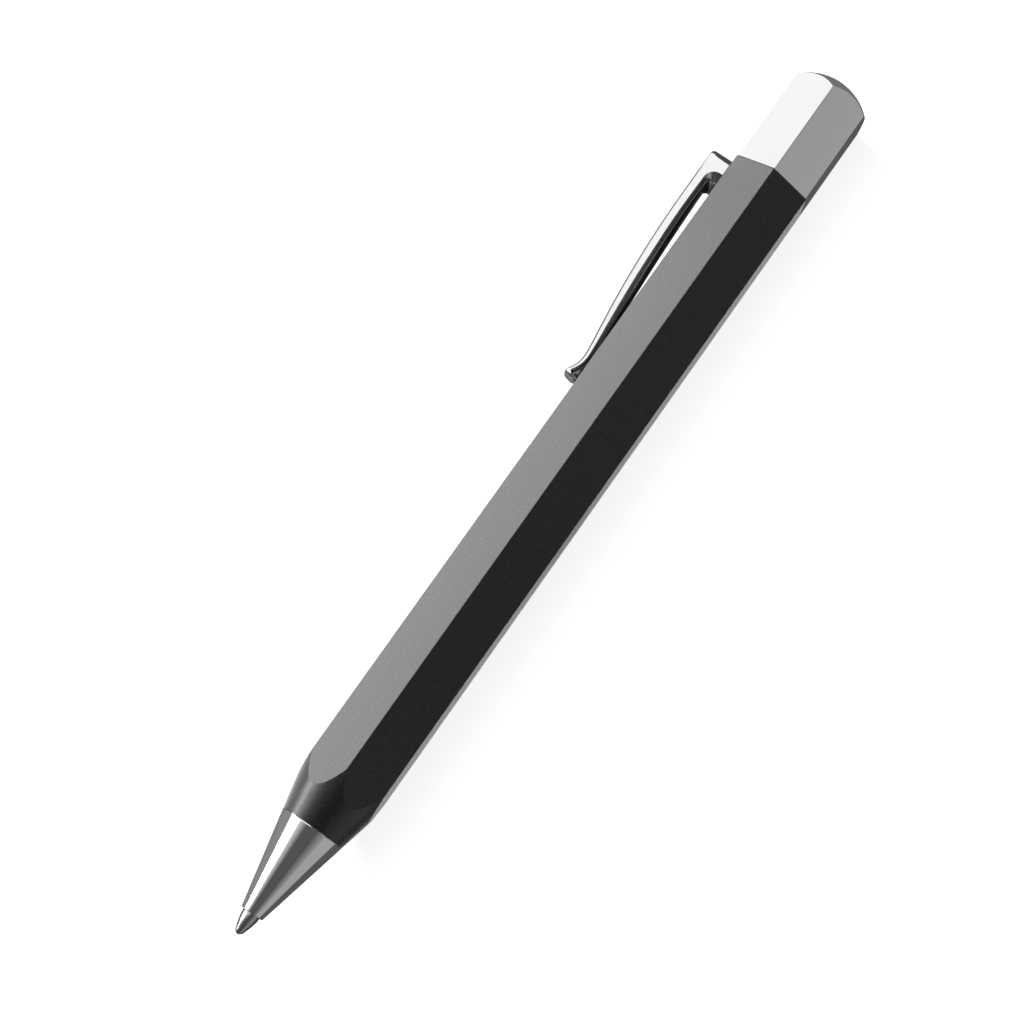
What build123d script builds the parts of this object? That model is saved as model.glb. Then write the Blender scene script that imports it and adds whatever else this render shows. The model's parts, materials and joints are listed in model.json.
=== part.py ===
from build123d import *
from math import cos, pi, radians, sin, sqrt, tan
import os

# Outside of the pen, in millimetres and degrees
across_flats = 10.4
edge_round = 0.15
point_reach = 2.9
nose_length = 12.28
cone_half_angle = 12.7
barrel_length = 98.92
seam_gap = 0.12
cap_length = 16.3
dome_radius = 7.55

# Clearances, and how far a cut runs past what it cuts
fit_gap = 0.02
run_gap = 0.05
overrun = 1.0

# Front of the barrel and the brass bush in it
front_wall = 0.6
front_lip = 1.0
bush_wall = 0.53
bush_length = 6.5

# Refill
refill_radius = 2.85
refill_wall = 0.2
refill_gap = 0.15
shoulder_reach = 16.5
shoulder_wall = 0.6
neck_radius = 1.5
plug_flange_length = 1.5
plug_stem_length = 5.5
plug_vent_radius = 0.4
ink_length = 52.0

# Writing point and its ball
ball_radius = 0.5
socket_gap = 0.02
rim_lead = 0.2
rim_wall = 0.04
point_radius = 1.1
point_length = 5.0
stem_radius = 0.9
stem_length = 3.0
ink_channel_radius = 0.3

# Nose cone
mouth_rim = 0.3
mouth_gap = 0.1
neck_room = 0.2
spring_seat_depth = 5.8
spigot_wall = 0.4
spigot_length = 8.2

# Return spring round the neck of the refill
return_wire_radius = 0.17
return_coils = 9

# Twist mechanism
stroke = 4.6
twist_angle = 180
rod_radius = 1.4
rod_room = 2.0
cup_wall = 0.5
cup_floor = 1.2
cup_depth = 2.0
cup_room = 0.5
follower_setback = 2.0
follower_radius = 0.45
follower_inset = 0.1
guide_wall = 0.4
guide_flange_length = 0.7
guide_end_wall = 2.3
washer_thickness = 0.3
cam_wall = 0.5
cam_flange_length = 0.65
cam_flange_step = 0.2
cam_slot_gap = 0.1

# Mechanism housing, its journal and the cap on it
housing_depth = 9.8
journal_length = 4.6
journal_gap = 0.15
groove_wall = 0.68
friction_section_radius = 0.42
friction_setback = 2.1
friction_gap = 0.06
insert_gap = 0.4
insert_end_wall = 1.5
cap_end_wall = 2.7

# Clip
clip_rise = 3.1
clip_setback = 0.8
clip_length = 35.45
clip_width = 4.2
clip_foot_width = 3.0
arm_flank_length = 2.3
arm_gap = 0.15
arm_corner_round = 0.6
keel_rise = 1.08
keel_depth = 0.75
foot_radius = 0.95
foot_gap = 0.08
foot_join_angle = 125

# Clip hinge inside the barrel
tang_width = 2.4
tang_setback = 0.9
tang_length = 3.3
tang_floor_wall = 0.4
tang_slot_gap = 0.4
ear_wall = 0.8
ear_length = 3.4
ear_drop = 0.1
notch_gap = 0.05
notch_room = 0.25
clip_pin_radius = 0.4
clip_pin_setback = 1.6
clip_pin_drop = 0.75
clip_spring_radius = 0.4
clip_wire_radius = 0.1
clip_spring_coils = 6
clip_spring_room = 0.08
clip_channel_wall = 0.5
clip_channel_floor = 0.2

# The clip's outer face, from the end of its flat stretch to the waist before its foot
# Along: shares of the length between those two, up: shares of the rise above the flat
blade_outer_shares = ((0.24, 0.973), (0.5, 0.845), (0.71, 0.63), (0.9, 0.427))
waist_share = 0.352
waist_place_share = 0.905
# The clip's underside, from the arm to its foot, as shares of the clip's length and of the keel's rise
keel_shares = ((0, 1), (0.16, 1), (0.27, 0.93), (0.41, 0.77), (0.62, 0.42), (0.83, 0.13), (1.03, 0.04))

# Places along the pen, with the middle of its length at zero
overall_length = point_reach + nose_length + barrel_length + seam_gap + cap_length
point_end = -overall_length / 2
nose_mouth = point_end + point_reach
nose_seam = nose_mouth + nose_length
barrel_rear = nose_seam + barrel_length
cap_front = barrel_rear + seam_gap
cap_end = cap_front + cap_length
# The cup behind the refill stays clear of the mechanism's housing when the point is drawn in
refill_length = barrel_rear - housing_depth - cup_room - stroke - cup_floor - point_end

# Radii that follow from the sizes above
axis_height = across_flats / 2
cone_slope = tan(radians(cone_half_angle))
mouth_bore_radius = point_radius + mouth_gap
nose_mouth_radius = mouth_bore_radius + mouth_rim
nose_seam_radius = nose_mouth_radius + nose_length * cone_slope
refill_bore_radius = refill_radius + refill_gap
spigot_radius = refill_bore_radius + spigot_wall
thread_radius = spigot_radius + run_gap
guide_bore_radius = rod_radius + run_gap
guide_radius = guide_bore_radius + guide_wall
cam_bore_radius = guide_radius + run_gap
cam_radius = cam_bore_radius + cam_wall
housing_bore_radius = cam_radius + run_gap
recess_radius = cam_radius + cam_flange_step + run_gap
clip_coil_radius = clip_spring_radius + clip_wire_radius
channel_radius = clip_coil_radius + clip_spring_room
# The barrel's bore takes the front bush, and the housing with the clip's spring beside its recess
bush_stack = thread_radius + bush_wall + fit_gap
housing_stack = recess_radius + clip_channel_floor + channel_radius + clip_coil_radius + run_gap
bore_radius = max(bush_stack, housing_stack)
housing_radius = bore_radius - fit_gap
# The cap's bore takes the friction ring in its groove on the housing's journal
groove_radius = housing_bore_radius + groove_wall
friction_radius = groove_radius + fit_gap + friction_section_radius
cap_bore_radius = friction_radius + friction_section_radius + friction_gap
journal_radius = cap_bore_radius - journal_gap
# Depths below the clip's flat
tang_floor = axis_height - housing_bore_radius - tang_floor_wall
tang_depth = tang_floor - tang_slot_gap / 2
clip_spring_drop = axis_height - (bore_radius - run_gap - clip_coil_radius)

# The pen lies along X on one of its flats, and the clip is on the upper flat on the +Y side
flat_count = 6
clip_tilt = radians(180 / flat_count)
clip_out = Vector(0, cos(clip_tilt), sin(clip_tilt))
clip_root = Vector(barrel_rear, 0, axis_height) + clip_out * axis_height
pen_axis = Axis((0, 0, axis_height), (1, 0, 0))
lengthwise = Plane(origin=(0, 0, axis_height), x_dir=(1, 0, 0), z_dir=(0, -1, 0))
clip_side = Plane(origin=clip_root, x_dir=(-1, 0, 0), z_dir=(0, sin(clip_tilt), -cos(clip_tilt)))
clip_flat = Plane(origin=clip_root, x_dir=(-1, 0, 0), z_dir=clip_out)


def cone_place(radius):
    """Place along the pen where the nose's cone has this radius."""
    return nose_mouth + (radius - nose_mouth_radius) / cone_slope


def turn(outline, mode=Mode.ADD):
    """Revolve a closed outline of (place along the pen, radius) points about the pen's axis."""
    with BuildSketch(lengthwise) as profile:
        with BuildLine():
            Polyline(*outline, close=True)
        make_face()
    revolve(profile.sketch, axis=pen_axis, mode=mode)


def turn_tube(front, rear, inner_radius, outer_radius, mode=Mode.ADD):
    """Revolve a plain tube, or a plain rod where the inner radius is zero."""
    corners = [(front, inner_radius), (front, outer_radius), (rear, outer_radius), (rear, inner_radius)]
    turn(corners, mode)


def hexagon_bar(front, rear):
    """A hexagonal bar that lies on a flat, with its long edges eased."""
    with BuildSketch(Plane(origin=(front, 0, axis_height), x_dir=(0, 1, 0), z_dir=(1, 0, 0))) as section:
        RegularPolygon(radius=axis_height, side_count=flat_count, major_radius=False)
    extrude(section.sketch, amount=rear - front)
    fillet(edges().filter_by(Axis.X), radius=edge_round)


def clip_block(front, rear, width, top, bottom, mode=Mode.ADD):
    """A block under or over the clip's flat: lengths run towards the point, heights out of the flat."""
    with BuildSketch(clip_flat.offset(bottom)) as footprint:
        with Locations(((front + rear) / 2, 0)):
            Rectangle(rear - front, width)
    extrude(footprint.sketch, amount=top - bottom, mode=mode)


def clip_cross_pin(setback, drop, radius, length, mode=Mode.ADD):
    """A round pin across the clip's middle plane."""
    with BuildSketch(clip_side) as circle:
        with Locations((setback, -drop)):
            Circle(radius)
    extrude(circle.sketch, amount=length / 2, both=True, mode=mode)


def coil(seat, coil_radius, wire_radius, length, turns):
    """A helical wire from a seat plane along its normal, on pairs of tangent arcs, two pairs a turn."""
    rise = (length - 2 * wire_radius) / turns
    half_turns = [index / 2 for index in range(2 * turns + 1)]

    def point(turn_count):
        angle = 2 * pi * turn_count
        return seat.from_local_coords(
            (coil_radius * cos(angle), coil_radius * sin(angle), wire_radius + rise * turn_count)
        )

    def heading(turn_count):
        angle = 2 * pi * turn_count
        circumference = 2 * pi * coil_radius
        along = Vector(-circumference * sin(angle), circumference * cos(angle), rise)
        return (seat.from_local_coords(along) - seat.origin).normalized()

    with BuildLine() as path:
        for begin, end in zip(half_turns, half_turns[1:]):
            chord = point(end) - point(begin)
            bend = heading(begin) + heading(end)
            spread = 4 - bend.dot(bend)
            lean = chord.dot(bend)
            reach = (sqrt(lean**2 + spread * chord.dot(chord)) - lean) / spread
            middle = (point(begin) + point(end) + (heading(begin) - heading(end)) * reach) / 2
            TangentArc(point(begin), middle, tangent=heading(begin))
            TangentArc(middle, point(end), tangent=(point(end) - heading(end) * reach - middle))
    with BuildSketch(Plane(origin=point(0), z_dir=heading(0))) as wire:
        Circle(wire_radius)
    sweep(wire.sketch, path=path.wire())

    samples_a_turn = 24
    samples = [point(index / samples_a_turn) for index in range(samples_a_turn * turns + 1)]
    apart = [
        (near - far).length
        for index, near in enumerate(samples)
        for far in samples[index + samples_a_turn // 2:]
    ]
    print("least gap between turns", round(min(apart) - 2 * wire_radius, 3), "mm")


def finish(node, name):
    """Name a finished piece and write it."""
    node.part.label = name
    export_step(node.part, f"parts/{name}.step")


os.makedirs("parts", exist_ok=True)

# Barrel: hexagonal bar with a conical front, bored through, with a notch for the clip's hinge
bore_front = max(cone_place(bore_radius + front_wall), nose_seam + front_lip)
cone_blank_radius = axis_height / cos(clip_tilt) + overrun
ear_notch_length = ear_length + notch_gap
tang_slot_width = tang_width + 2 * run_gap
ear_width = tang_slot_width + 2 * ear_wall
notch_width = ear_width + 2 * notch_gap
tang_notch_length = tang_setback + tang_length + notch_room
with BuildPart() as barrel:
    hexagon_bar(nose_seam, barrel_rear)
    cone_front = (nose_seam, nose_seam_radius)
    cone_back = (cone_place(cone_blank_radius), cone_blank_radius)
    blank_rear = (barrel_rear, cone_blank_radius)
    turn([(nose_seam, 0), cone_front, cone_back, blank_rear, (barrel_rear, 0)], Mode.INTERSECT)
    turn_tube(nose_seam - overrun, bore_front, 0, thread_radius, Mode.SUBTRACT)
    turn_tube(bore_front, barrel_rear + overrun, 0, bore_radius, Mode.SUBTRACT)
    clip_block(-overrun, ear_notch_length, notch_width, overrun, -axis_height, Mode.SUBTRACT)
    clip_block(0, tang_notch_length, tang_slot_width, overrun, -axis_height, Mode.SUBTRACT)
finish(barrel, "barrel")

# Front bush: brass tube against the barrel's front lip
with BuildPart() as front_bush:
    turn_tube(bore_front, bore_front + bush_length, thread_radius, housing_radius)
finish(front_bush, "front_bush")

# Refill tube: slim neck, flat shoulder for the spring, thin-walled body
neck_front = point_end + point_length
shoulder = point_end + shoulder_reach
refill_rear = point_end + refill_length
tube_rear = refill_rear - plug_flange_length
neck_bore_radius = stem_radius + fit_gap
tube_bore_radius = refill_radius - refill_wall
ink_front = shoulder + shoulder_wall
with BuildPart() as refill_tube:
    turn_tube(neck_front, shoulder + shoulder_wall, neck_bore_radius, neck_radius)
    turn_tube(shoulder, ink_front, neck_bore_radius, refill_radius)
    turn_tube(ink_front, tube_rear, tube_bore_radius, refill_radius)
finish(refill_tube, "refill_tube")

# Ink: the paste behind the shoulder
with BuildPart() as ink_charge:
    turn_tube(ink_front, ink_front + ink_length, 0, tube_bore_radius - fit_gap)
finish(ink_charge, "ink_charge")

# Refill plug: flanged stopper with a vent
plug_front = tube_rear - plug_stem_length
with BuildPart() as refill_plug:
    turn_tube(plug_front, refill_rear, plug_vent_radius, tube_bore_radius - fit_gap)
    turn_tube(tube_rear, refill_rear, plug_vent_radius, refill_radius)
finish(refill_plug, "refill_plug")

# Writing point: taper, parallel root and a stem in the refill's neck, with a round socket for the ball
ball_place = point_end + ball_radius
rim = ball_place - rim_lead
rim_radius = ball_radius + rim_wall
stem_rear = neck_front + stem_length
with BuildPart() as refill_point:
    taper = [(rim, 0), (rim, rim_radius), (nose_mouth, point_radius), (neck_front, point_radius)]
    stem = [(neck_front, stem_radius), (stem_rear, stem_radius), (stem_rear, 0)]
    turn(taper + stem)
    turn_tube(ball_place, stem_rear + overrun, 0, ink_channel_radius, Mode.SUBTRACT)
    with Locations((ball_place, 0, axis_height)):
        Sphere(ball_radius + socket_gap, mode=Mode.SUBTRACT)
finish(refill_point, "refill_point")

with BuildPart() as writing_ball:
    with Locations((ball_place, 0, axis_height)):
        Sphere(ball_radius)
finish(writing_ball, "writing_ball")

# Return spring: between the nose cone's inner seat and the refill's shoulder
spring_seat = nose_mouth + spring_seat_depth
return_coil_radius = neck_radius + refill_gap + run_gap + return_wire_radius
chamber_radius = return_coil_radius + return_wire_radius + refill_gap
with BuildPart() as return_spring:
    spring_front = Plane(origin=(spring_seat + run_gap, 0, axis_height), x_dir=(0, 1, 0), z_dir=(1, 0, 0))
    spring_length = shoulder - spring_seat - 2 * run_gap
    coil(spring_front, return_coil_radius, return_wire_radius, spring_length, return_coils)
finish(return_spring, "return_spring")

# Nose cone: outer cone in line with the barrel's, stepped bore, plain spigot in the front bush
neck_clear_radius = neck_radius + refill_gap
mouth_bore_rear = neck_front - neck_room
refill_bore_front = shoulder - refill_gap
spigot_rear = nose_seam + spigot_length
with BuildPart() as nose_cone:
    cone_outline = [(nose_mouth, 0), (nose_mouth, nose_mouth_radius), (nose_seam, nose_seam_radius)]
    spigot_outline = [(nose_seam, spigot_radius), (spigot_rear, spigot_radius), (spigot_rear, 0)]
    turn(cone_outline + spigot_outline)
    turn_tube(nose_mouth - overrun, mouth_bore_rear, 0, mouth_bore_radius, Mode.SUBTRACT)
    turn_tube(mouth_bore_rear, spring_seat, 0, neck_clear_radius, Mode.SUBTRACT)
    turn_tube(spring_seat, refill_bore_front, 0, chamber_radius, Mode.SUBTRACT)
    turn_tube(refill_bore_front, spigot_rear + overrun, 0, refill_bore_radius, Mode.SUBTRACT)
finish(nose_cone, "nose_cone")

# Push rod: cup over the back of the refill, and a rod with a cross hole
dome_drop = dome_radius - sqrt(dome_radius**2 - cap_bore_radius**2)
cap_bore_rear = cap_end - dome_drop - cap_end_wall
insert_rear = cap_bore_rear - fit_gap
cam_rear = insert_rear - insert_end_wall
rod_rear = cam_rear - stroke - rod_room
follower_place = barrel_rear - follower_setback
cup_rear = refill_rear + cup_floor
cup_bore_radius = refill_radius + run_gap
with BuildPart() as push_rod:
    turn_tube(refill_rear - cup_depth, cup_rear, cup_bore_radius, cup_bore_radius + cup_wall)
    turn_tube(refill_rear, cup_rear, 0, cup_bore_radius + cup_wall)
    turn_tube(cup_rear, rod_rear, 0, rod_radius)
    with BuildSketch(lengthwise) as cross_hole:
        with Locations((follower_place, 0)):
            Circle(follower_radius + fit_gap)
    extrude(cross_hole.sketch, amount=rod_radius + overrun, both=True, mode=Mode.SUBTRACT)
finish(push_rod, "push_rod")

# Follower pin: across the push rod, into both pairs of slots
with BuildPart() as follower_pin:
    with BuildSketch(lengthwise) as pin_section:
        with Locations((follower_place, 0)):
            Circle(follower_radius)
    extrude(pin_section.sketch, amount=cam_radius - follower_inset, both=True)
finish(follower_pin, "follower_pin")

# Guide tube: flange in the housing's recess and a straight slot on each side
housing_front = barrel_rear - housing_depth
guide_flange_rear = housing_front + guide_flange_length
slot_radius = follower_radius + run_gap
guide_rear = follower_place + stroke + slot_radius + guide_end_wall
with BuildPart() as guide_tube:
    turn_tube(housing_front, guide_flange_rear, guide_bore_radius, recess_radius - fit_gap)
    turn_tube(guide_flange_rear, guide_rear, guide_bore_radius, guide_radius)
    with BuildSketch(lengthwise) as straight_slot:
        with Locations((follower_place + stroke / 2, 0)):
            SlotCenterToCenter(stroke + 2 * run_gap, 2 * slot_radius)
    extrude(straight_slot.sketch, amount=guide_radius + run_gap, both=True, mode=Mode.SUBTRACT)
finish(guide_tube, "guide_tube")

# Thrust washer: flat ring behind the guide tube's flange
washer_rear = guide_flange_rear + washer_thickness
with BuildPart() as thrust_washer:
    turn_tube(guide_flange_rear, washer_rear, cam_bore_radius, recess_radius - fit_gap)
finish(thrust_washer, "thrust_washer")

# Cam sleeve: flanged tube with two left-hand helical slots half a turn apart
cam_front = washer_rear + run_gap
cam_flange_rear = cam_front + cam_flange_length
cam_middle_radius = (cam_bore_radius + cam_radius) / 2
cam_lead = stroke * 360 / twist_angle
slot_reach = slot_radius + cam_slot_gap
path_length_per_turn = sqrt(cam_lead**2 + (2 * pi * cam_middle_radius) ** 2)
slot_run_on = slot_reach * cam_lead / path_length_per_turn
slot_start = follower_place - slot_run_on
slot_travel = stroke + 2 * slot_run_on
slot_depth = cam_wall + 2 * run_gap
start_angle = 2 * pi * slot_run_on / cam_lead
with BuildPart() as cam_sleeve:
    turn_tube(cam_front, cam_rear, cam_bore_radius, cam_radius)
    turn_tube(cam_front, cam_flange_rear, cam_bore_radius, cam_radius + cam_flange_step)
    for side in (0, 180):
        helix = Edge.make_helix(
            cam_lead, slot_travel, cam_middle_radius, (slot_start, 0, axis_height), (1, 0, 0), lefthand=True
        )
        begin = helix.position_at(0)
        turned = Vector(0, 1, 0).get_signed_angle(Vector(0, begin.Y, begin.Z - axis_height), Vector(1, 0, 0))
        helix = helix.rotate(pen_axis, side + start_angle * 180 / pi - turned)
        begin = helix.position_at(0)
        outward = Vector(0, begin.Y, begin.Z - axis_height)
        with BuildSketch(Plane(origin=begin, x_dir=outward, z_dir=helix.tangent_at(0))) as slot_section:
            Rectangle(slot_depth, 2 * slot_reach)
        sweep(slot_section.sketch, path=helix, is_frenet=True, mode=Mode.SUBTRACT)
finish(cam_sleeve, "cam_sleeve")

# Mechanism housing: bush in the barrel, grooved journal for the cap, key with ears for the clip's pin
recess_rear = cam_flange_rear + run_gap
journal_rear = barrel_rear + journal_length
groove_place = barrel_rear + friction_setback
groove_half = friction_section_radius + run_gap
tang_slot_front = tang_setback - tang_slot_gap
tang_slot_rear = tang_setback + tang_length + tang_slot_gap
channel_end = housing_depth - clip_channel_wall
with BuildPart() as mechanism_housing:
    turn_tube(housing_front, barrel_rear, housing_bore_radius, housing_radius)
    turn_tube(barrel_rear, journal_rear, housing_bore_radius, journal_radius)
    turn_tube(housing_front - overrun, recess_rear, 0, recess_radius, Mode.SUBTRACT)
    turn_tube(
        groove_place - groove_half, groove_place + groove_half, groove_radius, cap_bore_radius, Mode.SUBTRACT
    )
    clip_block(0, ear_length, ear_width, -ear_drop, -tang_depth)
    clip_block(tang_slot_front, tang_slot_rear, tang_slot_width, overrun, -tang_floor, Mode.SUBTRACT)
    clip_cross_pin(clip_pin_setback, clip_pin_drop, clip_pin_radius, ear_width + overrun, Mode.SUBTRACT)
    clip_block(tang_slot_front, channel_end, 2 * channel_radius, overrun - clip_spring_drop,
               -clip_spring_drop - channel_radius, Mode.SUBTRACT)
finish(mechanism_housing, "mechanism_housing")

# Friction ring: round-section rubber ring in the journal's groove
with BuildPart() as friction_ring:
    with BuildSketch(lengthwise) as ring_section:
        with Locations((groove_place, friction_radius)):
            Circle(friction_section_radius)
    revolve(ring_section.sketch, axis=pen_axis)
finish(friction_ring, "friction_ring")

# Cap insert: plastic hub pressed into the cap and onto the back of the cam sleeve
insert_front = journal_rear + insert_gap
with BuildPart() as cap_insert:
    turn_tube(insert_front, insert_rear, 0, cap_bore_radius - fit_gap)
    turn_tube(insert_front - overrun, cam_rear, 0, cam_radius + fit_gap, Mode.SUBTRACT)
finish(cap_insert, "cap_insert")

# End cap: hexagonal bar with a spherical end, bored from the front
dome_centre = cap_end - dome_radius
with BuildPart() as end_cap:
    hexagon_bar(cap_front, cap_end)
    with BuildSketch(lengthwise) as dome_profile:
        with BuildLine():
            Polyline((cap_end, 0), (cap_front, 0), (cap_front, dome_radius), (dome_centre, dome_radius))
            RadiusArc((dome_centre, dome_radius), (cap_end, 0), dome_radius)
        make_face()
    revolve(dome_profile.sketch, axis=pen_axis, mode=Mode.INTERSECT)
    turn_tube(cap_front - overrun, cap_bore_rear, 0, cap_bore_radius, Mode.SUBTRACT)
finish(end_cap, "end_cap")

# Clip: blade with a rounded keel and foot, upright arm with a round front, tang with a pin hole
arm_round = clip_width / 2
arm_centre = clip_setback + arm_flank_length
arm_front = arm_centre + arm_round
toe_place = clip_setback + clip_length
toe = clip_foot_width / 2
foot_centre = (toe_place - foot_radius, foot_gap + foot_radius)
foot_bottom = (foot_centre[0], foot_gap)
join_turn = radians(foot_join_angle)
foot_join = (foot_centre[0] + foot_radius * cos(join_turn), foot_centre[1] + foot_radius * sin(join_turn))
waist_place = clip_setback + clip_length * waist_place_share
waist = (waist_place, clip_rise * waist_share)
blade_run = waist_place - arm_front
outer_points = [(arm_front + blade_run * along, clip_rise * up) for along, up in blade_outer_shares]
blade_front = (arm_front, clip_rise)
with BuildPart() as clip:
    with BuildSketch(clip_side) as blade_side:
        with BuildLine():
            Polyline(foot_bottom, (arm_centre, -keel_depth), (arm_centre, clip_rise), blade_front)
            Spline(blade_front, *outer_points, waist, foot_join,
                   tangents=((1, 0), (sin(join_turn), -cos(join_turn))))
            CenterArc(foot_centre, foot_radius, foot_join_angle, -90 - foot_join_angle)
        make_face()
    extrude(blade_side.sketch, amount=clip_width / 2, both=True)
    with BuildSketch(clip_flat.offset(-overrun)) as blade_plan:
        with BuildLine():
            Polyline((arm_centre, -arm_round), (arm_front, -arm_round), (toe_place, -toe),
                     (toe_place, toe), (arm_front, arm_round), (arm_centre, arm_round), close=True)
        make_face()
        fillet(blade_plan.vertices().group_by(Axis.X)[0], radius=foot_radius)
    extrude(blade_plan.sketch, amount=clip_rise + 2 * overrun, mode=Mode.INTERSECT)
    keel_sections = []
    for along, up in keel_shares:
        place = clip_root + Vector(-1, 0, 0) * (clip_setback + clip_length * along)
        keel = keel_rise * up
        shoulder_height = keel + keel_depth
        top_height = clip_rise + overrun
        with BuildSketch(Plane(origin=place, x_dir=clip_side.z_dir, z_dir=(1, 0, 0))) as keel_section:
            with BuildLine():
                Polyline((arm_round, shoulder_height), (arm_round, top_height),
                         (-arm_round, top_height), (-arm_round, shoulder_height))
                ThreePointArc((-arm_round, shoulder_height), (0, keel), (arm_round, shoulder_height))
            make_face()
        keel_sections.append(keel_section.sketch)
    loft(keel_sections, mode=Mode.INTERSECT)
    with BuildSketch(clip_flat.offset(arm_gap)) as arm_plan:
        with Locations(((clip_setback + arm_centre) / 2, 0)):
            Rectangle(arm_flank_length, clip_width)
        with Locations((arm_centre, 0)):
            Circle(arm_round)
    extrude(arm_plan.sketch, amount=clip_rise - arm_gap)
    arm_top_edge = clip.faces().sort_by(Axis.X)[-1].edges().sort_by(Axis(clip_root, clip_out))[-1]
    fillet(arm_top_edge, radius=arm_corner_round)
    clip_block(tang_setback, tang_setback + tang_length, tang_width, arm_gap, -tang_depth)
    clip_cross_pin(clip_pin_setback, clip_pin_drop, clip_pin_radius + run_gap, clip_width, Mode.SUBTRACT)
finish(clip, "clip")

# Clip pin: across the ears and the tang
with BuildPart() as clip_pin:
    clip_cross_pin(clip_pin_setback, clip_pin_drop, clip_pin_radius, ear_width)
finish(clip_pin, "clip_pin")

# Clip spring: in the housing's channel, pressing on the tang below its pin
clip_spring_length = channel_end - tang_setback - tang_length - 2 * run_gap
with BuildPart() as clip_spring:
    spring_setback = tang_setback + tang_length + run_gap
    spring_start = clip_root + Vector(-1, 0, 0) * spring_setback - clip_out * clip_spring_drop
    tang_face = Plane(origin=spring_start, x_dir=clip_out, z_dir=(-1, 0, 0))
    coil(tang_face, clip_spring_radius, clip_wire_radius, clip_spring_length, clip_spring_coils)
finish(clip_spring, "clip_spring")
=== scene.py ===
import json
from math import atan2, cos, degrees, pi, radians, sin, sqrt, tan

import bmesh
import bpy
from mathutils import Matrix, Vector


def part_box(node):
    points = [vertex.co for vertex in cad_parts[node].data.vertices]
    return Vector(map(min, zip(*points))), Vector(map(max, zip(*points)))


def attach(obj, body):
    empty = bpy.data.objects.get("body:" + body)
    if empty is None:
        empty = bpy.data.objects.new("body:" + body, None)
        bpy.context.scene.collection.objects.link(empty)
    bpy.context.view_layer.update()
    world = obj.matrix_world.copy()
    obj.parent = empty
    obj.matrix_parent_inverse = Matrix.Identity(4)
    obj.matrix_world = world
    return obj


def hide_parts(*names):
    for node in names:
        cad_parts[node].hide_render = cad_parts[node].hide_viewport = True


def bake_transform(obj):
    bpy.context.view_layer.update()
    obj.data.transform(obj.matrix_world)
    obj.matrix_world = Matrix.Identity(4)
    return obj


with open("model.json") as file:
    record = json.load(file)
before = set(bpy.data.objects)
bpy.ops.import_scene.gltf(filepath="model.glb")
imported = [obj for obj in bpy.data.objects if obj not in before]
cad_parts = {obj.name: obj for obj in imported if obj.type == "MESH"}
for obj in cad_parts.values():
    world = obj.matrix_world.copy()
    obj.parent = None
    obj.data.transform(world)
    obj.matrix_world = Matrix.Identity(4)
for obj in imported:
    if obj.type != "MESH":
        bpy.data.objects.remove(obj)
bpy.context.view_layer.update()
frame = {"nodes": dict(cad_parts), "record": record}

mm = 0.001

# Places and radii of the pen, from the frame
barrel_low, barrel_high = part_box("barrel")
nose_low, nose_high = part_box("nose_cone")
cap_low, cap_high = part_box("end_cap")
bush_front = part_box("front_bush")[0].x
insert_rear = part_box("cap_insert")[1].x
point_low, point_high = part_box("refill_point")
ball_low, ball_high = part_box("writing_ball")
axis_height = (barrel_low.z + barrel_high.z) / 2
flat_reach = barrel_high.z - axis_height
nose_seam = barrel_low.x
barrel_rear = barrel_high.x
cap_front = cap_low.x
cap_end = cap_high.x

# Sizes that a box doesn't give, in metres and radians
edge_ease = 0.15 * mm
cap_edge_ease = 0.22 * mm
seam_closing = 0.06 * mm
rim_ease = 0.05 * mm
nose_seam_ease = 0.08 * mm
nose_land = 0.1 * mm
nose_land_tilt = radians(5)
cone_half_angle = radians(12.7)
dome_radius = 7.55 * mm
thread_radius = 3.45 * mm
barrel_bore_radius = 4.0 * mm
cap_bore_radius = 4.05 * mm
merge_reach = 0.001 * mm
# Edges that turn by more than these angles stay sharp
solid_crease = radians(28)
turned_crease = radians(25)
clip_crease = radians(18)
coil_crease = radians(40)

# Nose cone and writing point
nose_mouth = nose_low.x
nose_mouth_radius = 1.5 * mm
nose_seam_radius = nose_mouth_radius + (nose_seam - nose_mouth) * tan(cone_half_angle)
mouth_bore_radius = 1.2 * mm
mouth_round = 0.14 * mm
spigot_radius = 3.4 * mm
spigot_lead = 0.3 * mm
spigot_rear = nose_high.x
refill_bore_radius = 3.0 * mm
chamber_radius = 2.19 * mm
neck_clear_radius = 1.65 * mm
refill_bore_front = nose_mouth + 13.45 * mm
spring_seat = nose_mouth + 5.8 * mm
mouth_bore_rear = nose_mouth + 1.9 * mm
point_rim = point_low.x
stem_rear = point_high.x
point_rear = stem_rear - 3.0 * mm
point_radius = 1.16 * mm
# The writing point's swell, as shares of its length and of its radius
point_shares = ((0.03, 0.5), (0.1, 0.6), (0.2, 0.73), (0.3, 0.85), (0.4, 0.94), (0.48, 0.985))
stem_radius = 0.9 * mm
rim_radius = 0.54 * mm
rim_round = 0.03 * mm
socket_radius = 0.48 * mm
ball_place = (ball_low.x + ball_high.x) / 2

# Clip: places run from the barrel's rear end towards the point, heights out of the clip's flat
clip_out = Vector((0.0, cos(pi / 6), sin(pi / 6)))
clip_aside = Vector((0.0, -sin(pi / 6), cos(pi / 6)))
clip_root = Vector((barrel_rear, 0.0, axis_height)) + clip_out * flat_reach
arm_rear = 0.55 * mm
arm_foot = 0.15 * mm
arm_rows = (0.25 * mm, 0.35 * mm)
row_gap = 0.03 * mm
arm_front = 5.4 * mm
arm_corner = 0.6 * mm
clip_top = 3.1 * mm
flank_front = 2.9 * mm
flank_corner = 1.5 * mm
flank_depth = 1.15 * mm
corner_height = clip_top - flank_depth - flank_corner
corner_steps = 24
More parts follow.
